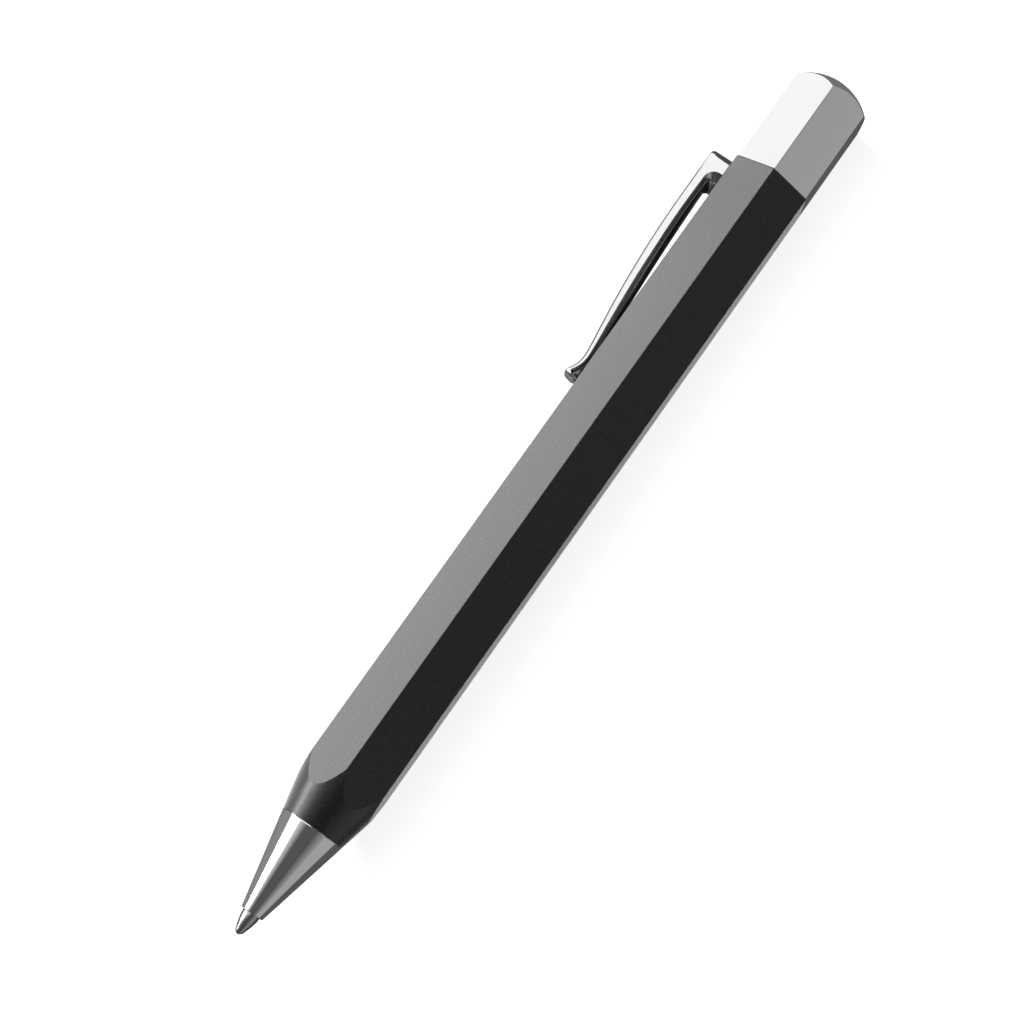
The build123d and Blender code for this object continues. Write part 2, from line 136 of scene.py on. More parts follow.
# Shares of the corner in which the back still climbs the arm, and then turns
back_climb = 0.4
back_turn = 0.25
keel_corner = 0.5 * mm
keel_corner_height = 0.57 * mm
blade_row = 0.2 * mm
chamfer = 0.5 * mm
chamfer_width = 0.64 * mm
arm_chamfer = 1.1 * mm
arm_chamfer_slope = 0.9
chamfer_land = 0.06 * mm
land_slope = 0.4
# The chamfer gets this share less deep by the toe
chamfer_slimming = 0.2
# How far the keel's end of a section leads its back: by the arm, over this run, and at the toe
keel_lead = 1.5 * mm
keel_lead_run = 8 * mm
toe_lead = 0.1 * mm
# How the belly falls from its edges to the keel: 1 is a plain V, 2 a round, less than 1 a hollow V
arm_bow = 1.0
blade_bow = 2.0
foot_bow = 0.6
arm_half_width = 2.1 * mm
toe_half_width = 1.3 * mm
taper_start = 5.2 * mm
toe_place = 35.48 * mm
foot_centre = Vector((34.8, 1.03)) * mm
foot_keel = Vector((34.36, 0.07)) * mm
sole_inset = Vector((0.2, 0.0)) * mm
# The heading in which the blade's back rises to the foot, and the share of the foot that rounds its edges
foot_rise = (0.819, 0.574)
foot_blend = 0.25
# Where a section's points lie across each of its faces
back_shares = (0.0, 0.5, 0.97)
bevel_shares = (0.0, 0.06, 0.2, 0.35, 0.5, 0.65, 0.8, 0.94, 1.0)
flank_shares = (0.03, 0.35, 0.7, 0.97, 1.0)
chamfer_shares = (0.04, 0.5, 0.96, 1.0)
land_shares = (0.1, 0.9, 1.0)
belly_steps = 10
# Depth and width of the bevel along the back's edges
arm_bevel = (0.8 * mm, 0.45 * mm)
blade_bevel = (0.25 * mm, 0.43 * mm)
# The blade's back in millimetres, then its flank's depth, its chamfer's width and its keel's height along it
blade_back = (
    (5.2, 3.1), (11.84, 3.05), (19.04, 2.67), (24.0, 2.22), (28.0, 1.73), (31.0, 1.35), (32.3, 1.25),
    (34.255, 1.808),
)
flank_depths = (
    (4.0, 1.15), (8.0, 1.07), (16.0, 1.03), (20.0, 0.94), (24.0, 0.85), (28.0, 0.7), (31.0, 0.58),
    (33.0, 0.52), (34.0, 0.45),
)
chamfer_widths = ((4.4, 0.64), (20.0, 0.54), (28.0, 0.49), (31.0, 0.49), (34.3, 0.57))
keel_heights = (
    (0.8, 1.06), (6.47, 1.05), (10.37, 0.95), (15.33, 0.77), (22.78, 0.39), (30.22, 0.11), (37.3, 0.043),
)
# The foot's back past the blade, over its top and down its end to the sole
foot_back = (
    (34.255, 1.808), (34.54, 1.99), (34.8, 2.09), (35.09, 2.14), (35.35, 2.01), (35.51, 1.7), (35.61, 1.35),
    (35.69, 0.95), (35.71, 0.62), (35.56, 0.33), (35.15, 0.14), (34.8, 0.08),
)
# The edges of the foot's flank and chamfer, by the angle in degrees round the foot's centre
foot_flank = (
    (-90.0, (34.82, 0.24)), (-60.0, (34.92, 0.5)), (-30.0, (35.0, 0.8)), (0.0, (35.06, 1.02)),
    (15.0, (35.07, 1.12)), (30.0, (35.06, 1.2)), (45.0, (35.03, 1.28)), (60.0, (34.98, 1.34)),
    (75.0, (34.9, 1.4)), (90.0, (34.8, 1.46)), (105.0, (34.678, 1.484)), (125.0, (34.513, 1.44)),
)
foot_chamfer = (
    (-90.0, (34.8, 0.16)), (-60.0, (34.84, 0.38)), (-30.0, (34.87, 0.6)), (0.0, (34.88, 0.77)),
    (30.0, (34.87, 0.9)), (60.0, (34.84, 1.01)), (90.0, (34.8, 1.09)), (125.0, (34.745, 1.109)),
)
# By the same angle: the chamfer's width, then the depth and width of the back edge's rounding
foot_rounding = (
    (-90.0, (0.1, 0.12, 0.3)), (-60.0, (0.2, 0.46, 0.6)), (-30.0, (0.38, 0.6, 0.9)), (0.0, (0.5, 0.52, 1.05)),
    (30.0, (0.56, 0.5, 1.15)), (60.0, (0.6, 0.5, 1.05)), (75.0, (0.6, 0.42, 0.85)), (90.0, (0.6, 0.3, 0.6)),
    (105.0, (0.59, 0.26, 0.46)), (125.0, (0.57, 0.25, 0.43)),
)
# By the same angle: the foot's width as a share of the blade's, as it rounds off towards the sole
foot_widths = (
    (-90.0, 0.48), (-70.0, 0.6), (-50.0, 0.74), (-30.0, 0.86), (-10.0, 0.94), (10.0, 0.985), (30.0, 1.0),
)
tang_front = 4.2 * mm
tang_rear = 0.9 * mm
tang_half_width = 1.2 * mm
tang_depth = 2.15 * mm
tang_overlap = 0.1 * mm
pin_place = 1.6 * mm
pin_depth = 0.75 * mm
pin_hole_radius = 0.45 * mm
# The barrel's notch for the clip's hinge: a wide part for the ears and a long part for the tang
ear_notch = (3.45 * mm, 2.1 * mm)
tang_notch = (4.45 * mm, 1.25 * mm)
notch_rear = -1 * mm
notch_heights = (-3 * mm, 1 * mm)

# Springs: the wire's radius and the number of turns
return_coil = (0.17 * mm, 9.0)
clip_coil = (0.1 * mm, 6.0)

slot_of = {part["node"]: part["material_slot"] for part in frame["record"]["subparts"]}
body_of = {node: body for body, nodes in frame["record"]["behaviour"]["bodies"].items() for node in nodes}


def wire(tree, value, socket):
    """Join a socket to another, or set its plain value."""
    if isinstance(value, bpy.types.NodeSocket):
        tree.links.new(value, socket)
    else:
        socket.default_value = value


def calculate(tree, operation, *values, clamp=False):
    """A Math node, and its result."""
    node = tree.nodes.new("ShaderNodeMath")
    node.operation = operation
    node.use_clamp = clamp
    for value, socket in zip(values, node.inputs):
        wire(tree, value, socket)
    return node.outputs[0]


def ramp(tree, value, low, high, low_result, high_result):
    """A clamped Map Range node, and its result."""
    node = tree.nodes.new("ShaderNodeMapRange")
    for number, socket in zip((value, low, high, low_result, high_result), node.inputs):
        wire(tree, number, socket)
    return node.outputs[0]


def blend_between(tree, share, first, second):
    """first where share is 0, second where it is 1."""
    step = calculate(tree, "SUBTRACT", second, first)
    return calculate(tree, "MULTIPLY_ADD", share, step, first)


def new_group(name, inputs, outputs):
    """A shader group with named number inputs and outputs."""
    tree = bpy.data.node_groups.new(name, "ShaderNodeTree")
    for label, start in inputs.items():
        socket = tree.interface.new_socket(label, in_out="INPUT", socket_type="NodeSocketFloat")
        socket.default_value = start
    for label in outputs:
        tree.interface.new_socket(label, in_out="OUTPUT", socket_type="NodeSocketFloat")
    given = tree.nodes.new("NodeGroupInput")
    result = tree.nodes.new("NodeGroupOutput")
    return tree, given.outputs, result.inputs


# Finishes that several materials share

def make_fine_grain():
    """Fine speckle of a blasted or moulded surface."""
    inputs = {"Grains per metre": 7000.0}
    tree, given, result = new_group("fine_grain", inputs, ["Speckle", "Cloud"])
    place = tree.nodes.new("ShaderNodeTexCoord")
    for label, coarseness in (("Speckle", 1.0), ("Cloud", 0.02)):
        noise = tree.nodes.new("ShaderNodeTexNoise")
        noise.inputs["Detail"].default_value = 3.0
        tree.links.new(place.outputs["Object"], noise.inputs["Vector"])
        wire(tree, calculate(tree, "MULTIPLY", given["Grains per metre"], coarseness), noise.inputs["Scale"])
        wire(tree, noise.outputs["Fac"], result[label])
    return tree


def make_turning_rings():
    """Fine tool rings round the pen's axis, uneven along it."""
    inputs = {"Rings per metre": 6000.0}
    tree, given, result = new_group("turning_rings", inputs, ["Rings"])
    place = tree.nodes.new("ShaderNodeTexCoord")
    along = tree.nodes.new("ShaderNodeSeparateXYZ")
    tree.links.new(place.outputs["Object"], along.inputs[0])
    noise = tree.nodes.new("ShaderNodeTexNoise")
    noise.noise_dimensions = "1D"
    noise.inputs["Detail"].default_value = 4.0
    tree.links.new(along.outputs["X"], noise.inputs["W"])
    wire(tree, given["Rings per metre"], noise.inputs["Scale"])
    wire(tree, noise.outputs["Fac"], result["Rings"])
    return tree


def make_handling_marks():
    """Soft smears and hairline scratches from use."""
    inputs = {"Marks per metre": 250.0}
    tree, given, result = new_group("handling_marks", inputs, ["Smear", "Hairline"])
    place = tree.nodes.new("ShaderNodeTexCoord")
    smear = tree.nodes.new("ShaderNodeTexNoise")
    smear.inputs["Detail"].default_value = 5.0
    tree.links.new(place.outputs["Object"], smear.inputs["Vector"])
    wire(tree, given["Marks per metre"], smear.inputs["Scale"])
    wire(tree, smear.outputs["Fac"], result["Smear"])
    stretch = tree.nodes.new("ShaderNodeMapping")
    stretch.inputs["Rotation"].default_value = (0.3, 0.2, 0.15)
    stretch.inputs["Scale"].default_value = (1.0, 18.0, 18.0)
    tree.links.new(place.outputs["Object"], stretch.inputs["Vector"])
    hairline = tree.nodes.new("ShaderNodeTexNoise")
    hairline.inputs["Detail"].default_value = 2.0
    tree.links.new(stretch.outputs["Vector"], hairline.inputs["Vector"])
    wire(tree, given["Marks per metre"], hairline.inputs["Scale"])
    wire(tree, ramp(tree, hairline.outputs["Fac"], 0.62, 0.72, 0.0, 1.0), result["Hairline"])
    return tree


fine_grain = make_fine_grain()
turning_rings = make_turning_rings()
handling_marks = make_handling_marks()


# Materials, one for each slot of the record

def new_finish(name, **values):
    """A material with one Principled shader, whose plain sockets are set here."""
    material = bpy.data.materials.new(name)
    material.use_nodes = True
    shader = material.node_tree.nodes["Principled BSDF"]
    for label, value in values.items():
        shader.inputs[label.replace("_", " ")].default_value = value
    return material, material.node_tree, shader.inputs


def place_group(tree, group, **values):
    """Put a shared finish into a material, with the material's own values."""
    node = tree.nodes.new("ShaderNodeGroup")
    node.node_tree = group
    for label, value in values.items():
        node.inputs[label.replace("_", " ")].default_value = value
    return node.outputs


def tint(tree, share, dark, light, socket):
    """Colour that runs from dark to light with the share."""
    mix = tree.nodes.new("ShaderNodeMix")
    mix.data_type = "RGBA"
    tree.links.new(share, mix.inputs["Factor"])
    mix.inputs[6].default_value = (*dark, 1.0)
    mix.inputs[7].default_value = (*light, 1.0)
    tree.links.new(mix.outputs[2], socket)


def emboss(tree, height, depth, socket):
    """Bump of this depth in metres."""
    bump = tree.nodes.new("ShaderNodeBump")
    bump.inputs["Distance"].default_value = depth
    tree.links.new(height, bump.inputs["Height"])
    tree.links.new(bump.outputs["Normal"], socket)


def graphite():
    """Satin graphite coat with a fine grain."""
    sheen = {"Sheen_Weight": 0.3, "Sheen_Roughness": 0.3}
    material, tree, inputs = new_finish("satin_graphite", Metallic=0.93, **sheen)
    grain = place_group(tree, fine_grain, Grains_per_metre=5000.0)
    tint(tree, grain["Speckle"], (0.0255, 0.0255, 0.0265), (0.097, 0.097, 0.099), inputs["Base Color"])
    wire(tree, ramp(tree, grain["Speckle"], 0.3, 0.7, 0.32, 0.39), inputs["Roughness"])
    emboss(tree, grain["Speckle"], 0.007 * mm, inputs["Normal"])
    return material


def bright_chrome():
    """Mirror plating with faint smears and hairlines."""
    material, tree, inputs = new_finish("mirror_chrome", Metallic=1.0)
    marks = place_group(tree, handling_marks, Marks_per_metre=220.0)
    tint(tree, marks["Smear"], (0.885, 0.885, 0.89), (0.915, 0.915, 0.92), inputs["Base Color"])
    dull = calculate(tree, "MULTIPLY_ADD", marks["Hairline"], 0.02, 0.035)
    wire(tree, calculate(tree, "MULTIPLY_ADD", marks["Smear"], 0.02, dull), inputs["Roughness"])
    return material


def turned_metal(name, dark, light, roughness, depth=0.002 * mm):
    """Bare metal with fine tool rings."""
    material, tree, inputs = new_finish(name, Metallic=1.0)
    rings = place_group(tree, turning_rings, Rings_per_metre=5000.0)
    tint(tree, rings["Rings"], dark, light, inputs["Base Color"])
    dull = ramp(tree, rings["Rings"], 0.3, 0.7, roughness * 0.8, roughness * 1.2)
    wire(tree, dull, inputs["Roughness"])
    emboss(tree, rings["Rings"], depth, inputs["Normal"])
    return material


def moulded(name, dark, light, roughness):
    """Plastic, rubber or paste with a soft fine grain."""
    material, tree, inputs = new_finish(name)
    grain = place_group(tree, fine_grain, Grains_per_metre=4000.0)
    tint(tree, grain["Cloud"], dark, light, inputs["Base Color"])
    dull = ramp(tree, grain["Speckle"], 0.3, 0.7, roughness * 0.85, roughness * 1.15)
    wire(tree, dull, inputs["Roughness"])
    emboss(tree, grain["Speckle"], 0.003 * mm, inputs["Normal"])
    return material


finishes = {
    "graphite": graphite(),
    "bright_chrome": bright_chrome(),
    "turned_brass": turned_metal("turned_brass", (0.66, 0.46, 0.18), (0.8, 0.6, 0.28), 0.26),
    "plain_steel": turned_metal("ground_steel", (0.52, 0.52, 0.53), (0.64, 0.64, 0.65), 0.24),
    "spring_steel": turned_metal("drawn_wire", (0.46, 0.46, 0.47), (0.58, 0.58, 0.59), 0.22),
    "refill_steel": turned_metal("drawn_tube", (0.56, 0.56, 0.57), (0.66, 0.66, 0.67), 0.2),
    "point_metal": turned_metal(
        "bright_turned_point", (0.48, 0.48, 0.47), (0.56, 0.56, 0.55), 0.22, depth=0.0004 * mm
    ),
    "ball_metal": turned_metal("polished_ball", (0.5, 0.5, 0.52), (0.6, 0.6, 0.62), 0.1),
    "moulded_plastic": moulded("moulded_acetal", (0.7, 0.7, 0.67), (0.8, 0.8, 0.78), 0.42),
    "plug_plastic": moulded("moulded_plug", (0.05, 0.06, 0.09), (0.08, 0.09, 0.12), 0.4),
    "ring_rubber": moulded("rubber_ring", (0.02, 0.02, 0.02), (0.04, 0.04, 0.04), 0.7),
    "ink_paste": moulded("ink_paste", (0.008, 0.01, 0.045), (0.014, 0.016, 0.06), 0.18),
}


def put_in_scene(name, data):
    """A new object with this data."""
    thing = bpy.data.objects.new(name, data)
    bpy.context.scene.collection.objects.link(thing)
    return thing


def dress(name, mesh, node, spring_between=None):
    """Make a mesh the visible piece that stands for a node; a spring is baked in place and attached to no
    body.
    """
    mesh.materials.clear()
    mesh.materials.append(finishes[slot_of[node]])
    piece = put_in_scene(name, mesh)
    if spring_between:
        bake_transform(piece)
    else:
        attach(piece, body_of[node])
    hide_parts(node)


def smooth_copy(node):
    """Dress a node in a merged copy of its own mesh, with smooth round faces and sharp edges."""
    mesh = frame["nodes"][node].data.copy()
    solid = bmesh.new()
    solid.from_mesh(mesh)
    bmesh.ops.remove_doubles(solid, verts=solid.verts, dist=merge_reach)
    solid.to_mesh(mesh)
    solid.free()
    mesh.shade_smooth()
    mesh.set_sharp_from_angle(angle=solid_crease)
    dress(node + "_finish", mesh, node)


# Hexagonal shell with one turned end: the barrel's cone, or the cap's dome

turned_rows = 28
flat_rows = 12
inner_rows = 6
flat_columns = 16
edge_columns = 8
columns_a_side = 2 * flat_columns + edge_columns
# The flats' columns crowd towards the edges by this power, and a row's edges lie this close to its number
column_crowding = 1.5
row_reach = 0.25
shell_sizes = (
    "Flat reach", "Edge ease", "Rim ease", "Axis height", "Turned end", "Open end", "End radius",
    "Cone slope", "Dome radius", "Bore radius", "Bore end", "Lip radius", "Lip end", "Closing place",
    "Closing radius",
)


def make_hexagon_shell():
    """A skin that goes from the turned end along the flats to the open end and back through the bore."""
    tree = bpy.data.node_groups.new("hexagon_shell", "GeometryNodeTree")
    for label in shell_sizes:
        tree.interface.new_socket(label, in_out="INPUT", socket_type="NodeSocketFloat")
    tree.interface.new_socket("Finish", in_out="INPUT", socket_type="NodeSocketMaterial")
    tree.interface.new_socket("Shell", in_out="OUTPUT", socket_type="NodeSocketGeometry")
    given = tree.nodes.new("NodeGroupInput").outputs

    def do(operation, *values, clamp=False):
        return calculate(tree, operation, *values, clamp=clamp)

    last_row = turned_rows + flat_rows + inner_rows
    grid = tree.nodes.new("GeometryNodeMeshGrid")
    wire(tree, 6 * columns_a_side + 1, grid.inputs["Vertices X"])
    wire(tree, last_row + 1, grid.inputs["Vertices Y"])
    place = tree.nodes.new("ShaderNodeSeparateXYZ")
    tree.links.new(tree.nodes.new("GeometryNodeInputPosition").outputs[0], place.inputs[0])
    side_share = do("MULTIPLY", do("ADD", place.outputs["X"], 0.5), 6.0)
    row = do("MULTIPLY", do("ADD", place.outputs["Y"], 0.5), float(last_row))

    # Round the section: half a flat, a rounded edge, half the next flat
    nearest_column = do("DIVIDE", do("ROUND", do("MULTIPLY", side_share, columns_a_side)), columns_a_side)
    side = do("FLOOR", nearest_column)
    share = do("SUBTRACT", nearest_column, side)
    core_reach = do("SUBTRACT", given["Flat reach"], given["Edge ease"])
    half_flat = do("MULTIPLY", core_reach, tan(pi / 6))
    column = do("MULTIPLY", share, float(columns_a_side))
    from_edge = do("SUBTRACT", 1.0, do("DIVIDE", column, float(flat_columns)), clamp=True)
    first_flat = do("MULTIPLY", half_flat, do("SUBTRACT", 1.0, do("POWER", from_edge, column_crowding)))
    column_past_edge = do("SUBTRACT", column, float(flat_columns + edge_columns))
    past_edge = do("DIVIDE", column_past_edge, float(flat_columns), clamp=True)
    second_flat = do("MULTIPLY", half_flat, do("POWER", past_edge, column_crowding))
    edge_share = do("DIVIDE", do("SUBTRACT", column, float(flat_columns)), float(edge_columns), clamp=True)
    edge_turn = do("MULTIPLY", edge_share, pi / 3)
    out = do("ADD", do("MULTIPLY_ADD", second_flat, -sin(pi / 3), core_reach),
             do("MULTIPLY", given["Edge ease"], do("COSINE", edge_turn)))
    across = do("ADD", do("MULTIPLY_ADD", second_flat, sin(pi / 6), first_flat),
                do("MULTIPLY", given["Edge ease"], do("SINE", edge_turn)))
    reach = do("SQRT", do("ADD", do("MULTIPLY", out, out), do("MULTIPLY", across, across)))
    turn = do("ADD", do("ARCTAN2", across, out), do("MULTIPLY_ADD", side, pi / 3, pi / 6))

    # Along the skin: the turned end's rows reach the flats where both have the same radius
    whole_row = do("ROUND", row)
    turned_share = do("DIVIDE", whole_row, float(turned_rows), clamp=True)
    flat_share = do("DIVIDE", do("SUBTRACT", whole_row, turned_rows), float(flat_rows), clamp=True)
    turned_radius = blend_between(tree, turned_share, given["End radius"], reach)
    cone_drop = do("DIVIDE", do("SUBTRACT", turned_radius, given["End radius"]), given["Cone slope"])
    dome_rise = do("SUBTRACT", do("MULTIPLY", given["Dome radius"], given["Dome radius"]),
                   do("MULTIPLY", turned_radius, turned_radius))
    dome_drop = do("SUBTRACT", given["Dome radius"], do("SQRT", do("MAXIMUM", dome_rise, 0.0)))
    has_dome = do("GREATER_THAN", given["Dome radius"], 0.0)
    turned_drop = blend_between(tree, has_dome, cone_drop, dome_drop)
    length = do("ABSOLUTE", do("SUBTRACT", given["Open end"], given["Turned end"]))
    facing = do("SIGN", do("SUBTRACT", given["Open end"], given["Turned end"]))
    flats_end = do("SUBTRACT", length, given["Rim ease"])
    outer_drop = blend_between(tree, flat_share, turned_drop, flats_end)

    def drop_of(label):
        return do("ABSOLUTE", do("SUBTRACT", given[label], given["Turned end"]))

    rows_inside = (
        (outer_drop, turned_radius),
        (length, do("SUBTRACT", reach, given["Rim ease"])),
        (length, given["Bore radius"]),
        (drop_of("Bore end"), given["Bore radius"]),
        (drop_of("Bore end"), given["Lip radius"]),
        (drop_of("Lip end"), given["Lip radius"]),
        (drop_of("Closing place"), given["Closing radius"]),
    )
    inside = do("MAXIMUM", do("SUBTRACT", whole_row, turned_rows + flat_rows), 0.0)
    chosen = []
    for measure in range(2):
        switch = tree.nodes.new("GeometryNodeIndexSwitch")
        switch.data_type = "FLOAT"
        while len(switch.index_switch_items) < len(rows_inside):
            switch.index_switch_items.new()
        wire(tree, inside, switch.inputs["Index"])
        for index, values in enumerate(rows_inside):
            wire(tree, values[measure], switch.inputs[index + 1])
        chosen.append(switch.outputs[0])
    drop, radius = chosen
    spot = tree.nodes.new("ShaderNodeCombineXYZ")
    wire(tree, do("MULTIPLY_ADD", drop, facing, given["Turned end"]), spot.inputs["X"])
    wire(tree, do("MULTIPLY", radius, do("COSINE", turn)), spot.inputs["Y"])
    wire(tree, do("MULTIPLY_ADD", radius, do("SINE", turn), given["Axis height"]), spot.inputs["Z"])

    # Rings of edges that stay sharp: the end's edge, the crease at the flats, the rim and the bore's corners
    on_ring = do("LESS_THAN", do("ABSOLUTE", do("SUBTRACT", row, do("ROUND", row))), row_reach)
    at_crease = do("COMPARE", row, float(turned_rows), row_reach)
    at_end = do("LESS_THAN", row, row_reach)
    at_inside = do("GREATER_THAN", row, turned_rows + flat_rows - row_reach)
    corner = do("MAXIMUM", at_crease, do("MAXIMUM", at_end, at_inside))
    sharp = tree.nodes.new("GeometryNodeStoreNamedAttribute")
    sharp.data_type = "BOOLEAN"
    sharp.domain = "EDGE"
    sharp.inputs["Name"].default_value = "sharp_edge"
    tree.links.new(grid.outputs["Mesh"], sharp.inputs["Geometry"])
    wire(tree, do("MULTIPLY", on_ring, corner), sharp.inputs["Value"])

    shape = tree.nodes.new("GeometryNodeSetPosition")
    tree.links.new(sharp.outputs["Geometry"], shape.inputs["Geometry"])
    tree.links.new(spot.outputs[0], shape.inputs["Position"])
    close = tree.nodes.new("GeometryNodeMergeByDistance")
    close.inputs["Distance"].default_value = merge_reach
    tree.links.new(shape.outputs["Geometry"], close.inputs["Geometry"])
    smooth = tree.nodes.new("GeometryNodeSetShadeSmooth")
    tree.links.new(close.outputs["Geometry"], smooth.inputs["Geometry"])
    end_tree(tree, smooth.outputs["Geometry"], given["Finish"])
    return tree


def end_tree(tree, geometry, finish):
    """Every tree ends in real geometry with its finish on it."""
    real = tree.nodes.new("GeometryNodeRealizeInstances")
    tree.links.new(geometry, real.inputs["Geometry"])
    coat = tree.nodes.new("GeometryNodeSetMaterial")
    tree.links.new(real.outputs["Geometry"], coat.inputs["Geometry"])
    tree.links.new(finish, coat.inputs["Material"])
    result = tree.nodes.new("NodeGroupOutput")
    tree.links.new(coat.outputs["Geometry"], result.inputs[0])


def run_tree(tree, node, sizes):
    """Evaluate a geometry tree with these sizes and return the plain mesh."""
    holder = put_in_scene("holder", bpy.data.meshes.new("holder"))
    maker = holder.modifiers.new("maker", "NODES")
    maker.node_group = tree
    values = dict(sizes, Finish=finishes[slot_of[node]])
    for socket in tree.interface.items_tree:
        if socket.in_out == "INPUT":
            maker[socket.identifier] = values[socket.name]
    evaluated = holder.evaluated_get(bpy.context.evaluated_depsgraph_get())
    mesh = bpy.data.meshes.new_from_object(evaluated)
    holder.modifiers.remove(maker)
    bpy.data.objects.remove(holder)
    return mesh


def face_outwards(mesh):
    """Turn every face of a closed skin outwards."""
    solid = bmesh.new()
    solid.from_mesh(mesh)
    bmesh.ops.recalc_face_normals(solid, faces=solid.faces)
    solid.to_mesh(mesh)
    solid.free()


def on_clip(place, height, aside):
    """A spot by the clip: its place along the pen, its height over the flat and its distance aside."""
    return clip_root - Vector((place, 0.0, 0.0)) + clip_out * height + clip_aside * aside


def add_block(solid, rear, front, low, high, half_width):
    """A plain block by the clip, as a cutter."""
    corners = [
        solid.verts.new(on_clip(place, height, aside))
        for place in (rear, front) for height in (low, high) for aside in (-half_width, half_width)
    ]
    for loop in ((0, 1, 3, 2), (4, 6, 7, 5), (0, 4, 5, 1), (2, 3, 7, 6), (0, 2, 6, 4), (1, 5, 7, 3)):
        solid.faces.new([corners[index] for index in loop])
    bmesh.ops.recalc_face_normals(solid, faces=solid.faces)


def cut_block(mesh, rear, front, low, high, half_width):
    """Cut a block by the clip out of a mesh, and keep the new corners sharp."""
    cutter_solid = bmesh.new()
    add_block(cutter_solid, rear, front, low, high, half_width)
    cutter_mesh = bpy.data.meshes.new("cutter")
    cutter_solid.to_mesh(cutter_mesh)
    cutter_solid.free()
    holder = put_in_scene("holder", mesh)
    cutter = put_in_scene("cutter", cutter_mesh)
    cut = holder.modifiers.new("cut", "BOOLEAN")
    cut.operation = "DIFFERENCE"
    cut.solver = "EXACT"
    cut.object = cutter
    evaluated = holder.evaluated_get(bpy.context.evaluated_depsgraph_get())
    result = bpy.data.meshes.new_from_object(evaluated)
    bpy.data.objects.remove(holder)
    bpy.data.objects.remove(cutter)
    solid = bmesh.new()
    solid.from_mesh(result)
    for edge in solid.edges:
        if edge.is_manifold and edge.calc_face_angle() > solid_crease:
            edge.smooth = False
    solid.to_mesh(result)
    solid.free()
    return result


hexagon_shell = make_hexagon_shell()
shell_common = {
    "Flat reach": flat_reach, "Edge ease": edge_ease, "Rim ease": rim_ease, "Axis height": axis_height,
}


def make_barrel():
    """Tube with a cone at the front and a notch for the clip's hinge at the rear."""
    sizes = shell_common | {
        "Turned end": nose_seam, "Open end": barrel_rear,
        "End radius": nose_seam_radius, "Cone slope": tan(cone_half_angle), "Dome radius": 0.0,
        "Bore radius": barrel_bore_radius, "Bore end": bush_front,
        "Lip radius": thread_radius, "Lip end": nose_seam,
        "Closing place": nose_seam, "Closing radius": nose_seam_radius,
    }
    mesh = run_tree(hexagon_shell, "barrel", sizes)
    face_outwards(mesh)
    for front, half_width in (ear_notch, tang_notch):
        mesh = cut_block(mesh, notch_rear, front, *notch_heights, half_width)
    dress("barrel_shell", mesh, "barrel")


def make_end_cap():
    """Cap with a domed end, bored from the seam to its insert's rear."""
    sizes = shell_common | {
        "Edge ease": cap_edge_ease, "Turned end": cap_end, "Open end": cap_front - seam_closing,
        "End radius": 0.0, "Cone slope": 1.0, "Dome radius": dome_radius,
        "Bore radius": cap_bore_radius, "Bore end": insert_rear,
        "Lip radius": 0.0, "Lip end": insert_rear,
        "Closing place": insert_rear, "Closing radius": 0.0,
    }
    mesh = run_tree(hexagon_shell, "end_cap", sizes)
    face_outwards(mesh)
    dress("end_cap_shell", mesh, "end_cap")


# Turned pieces

cone_segments = 144
point_segments = 96


def on_round(centre, radius, angle):
    """The spot at this angle on a circle."""
    return (centre[0] + radius * cos(angle), centre[1] + radius * sin(angle))


def arc(centre, radius, start, end, steps=6):
    """Points of (place, radius) on an arc, with its angles in degrees from the way to the cap."""
    angles = [radians(start + (end - start) * step / steps) for step in range(steps + 1)]
    return [on_round(centre, radius, angle) for angle in angles]


def straight(begin, end, margin=0.04 * mm):
    """A straight stretch with a point close to each end, so that it shades as straight."""
    length = sqrt((end[0] - begin[0]) ** 2 + (end[1] - begin[1]) ** 2)
    share = margin / length
    return [
        (begin[0] + (end[0] - begin[0]) * at, begin[1] + (end[1] - begin[1]) * at)
        for at in (0.0, share, 1.0 - share, 1.0)
    ]


def close_skin(solid, name, crease):
    """Merge a skin and turn it outwards, as a mesh with smooth faces and sharp edges."""
    bmesh.ops.remove_doubles(solid, verts=solid.verts, dist=merge_reach)
    bmesh.ops.recalc_face_normals(solid, faces=solid.faces)
    mesh = bpy.data.meshes.new(name)
    solid.to_mesh(mesh)
    solid.free()
    mesh.shade_smooth()
    mesh.set_sharp_from_angle(angle=crease)
    return mesh


def turned_mesh(name, outline, segments):
    """Revolve a closed outline of (place, radius) points about the pen's axis."""
    solid = bmesh.new()
    rings = []
    for place, radius in outline:
        turns = [2 * pi * step / segments for step in range(segments)]
        spots = [(place, radius * cos(turn), axis_height + radius * sin(turn)) for turn in turns]
        rings.append([solid.verts.new(spot) for spot in spots])
    for near, far in zip(rings, rings[1:] + rings[:1]):
        for step in range(segments):
            following = (step + 1) % segments
            solid.faces.new((near[step], far[step], far[following], near[following]))
    return close_skin(solid, name, turned_crease)


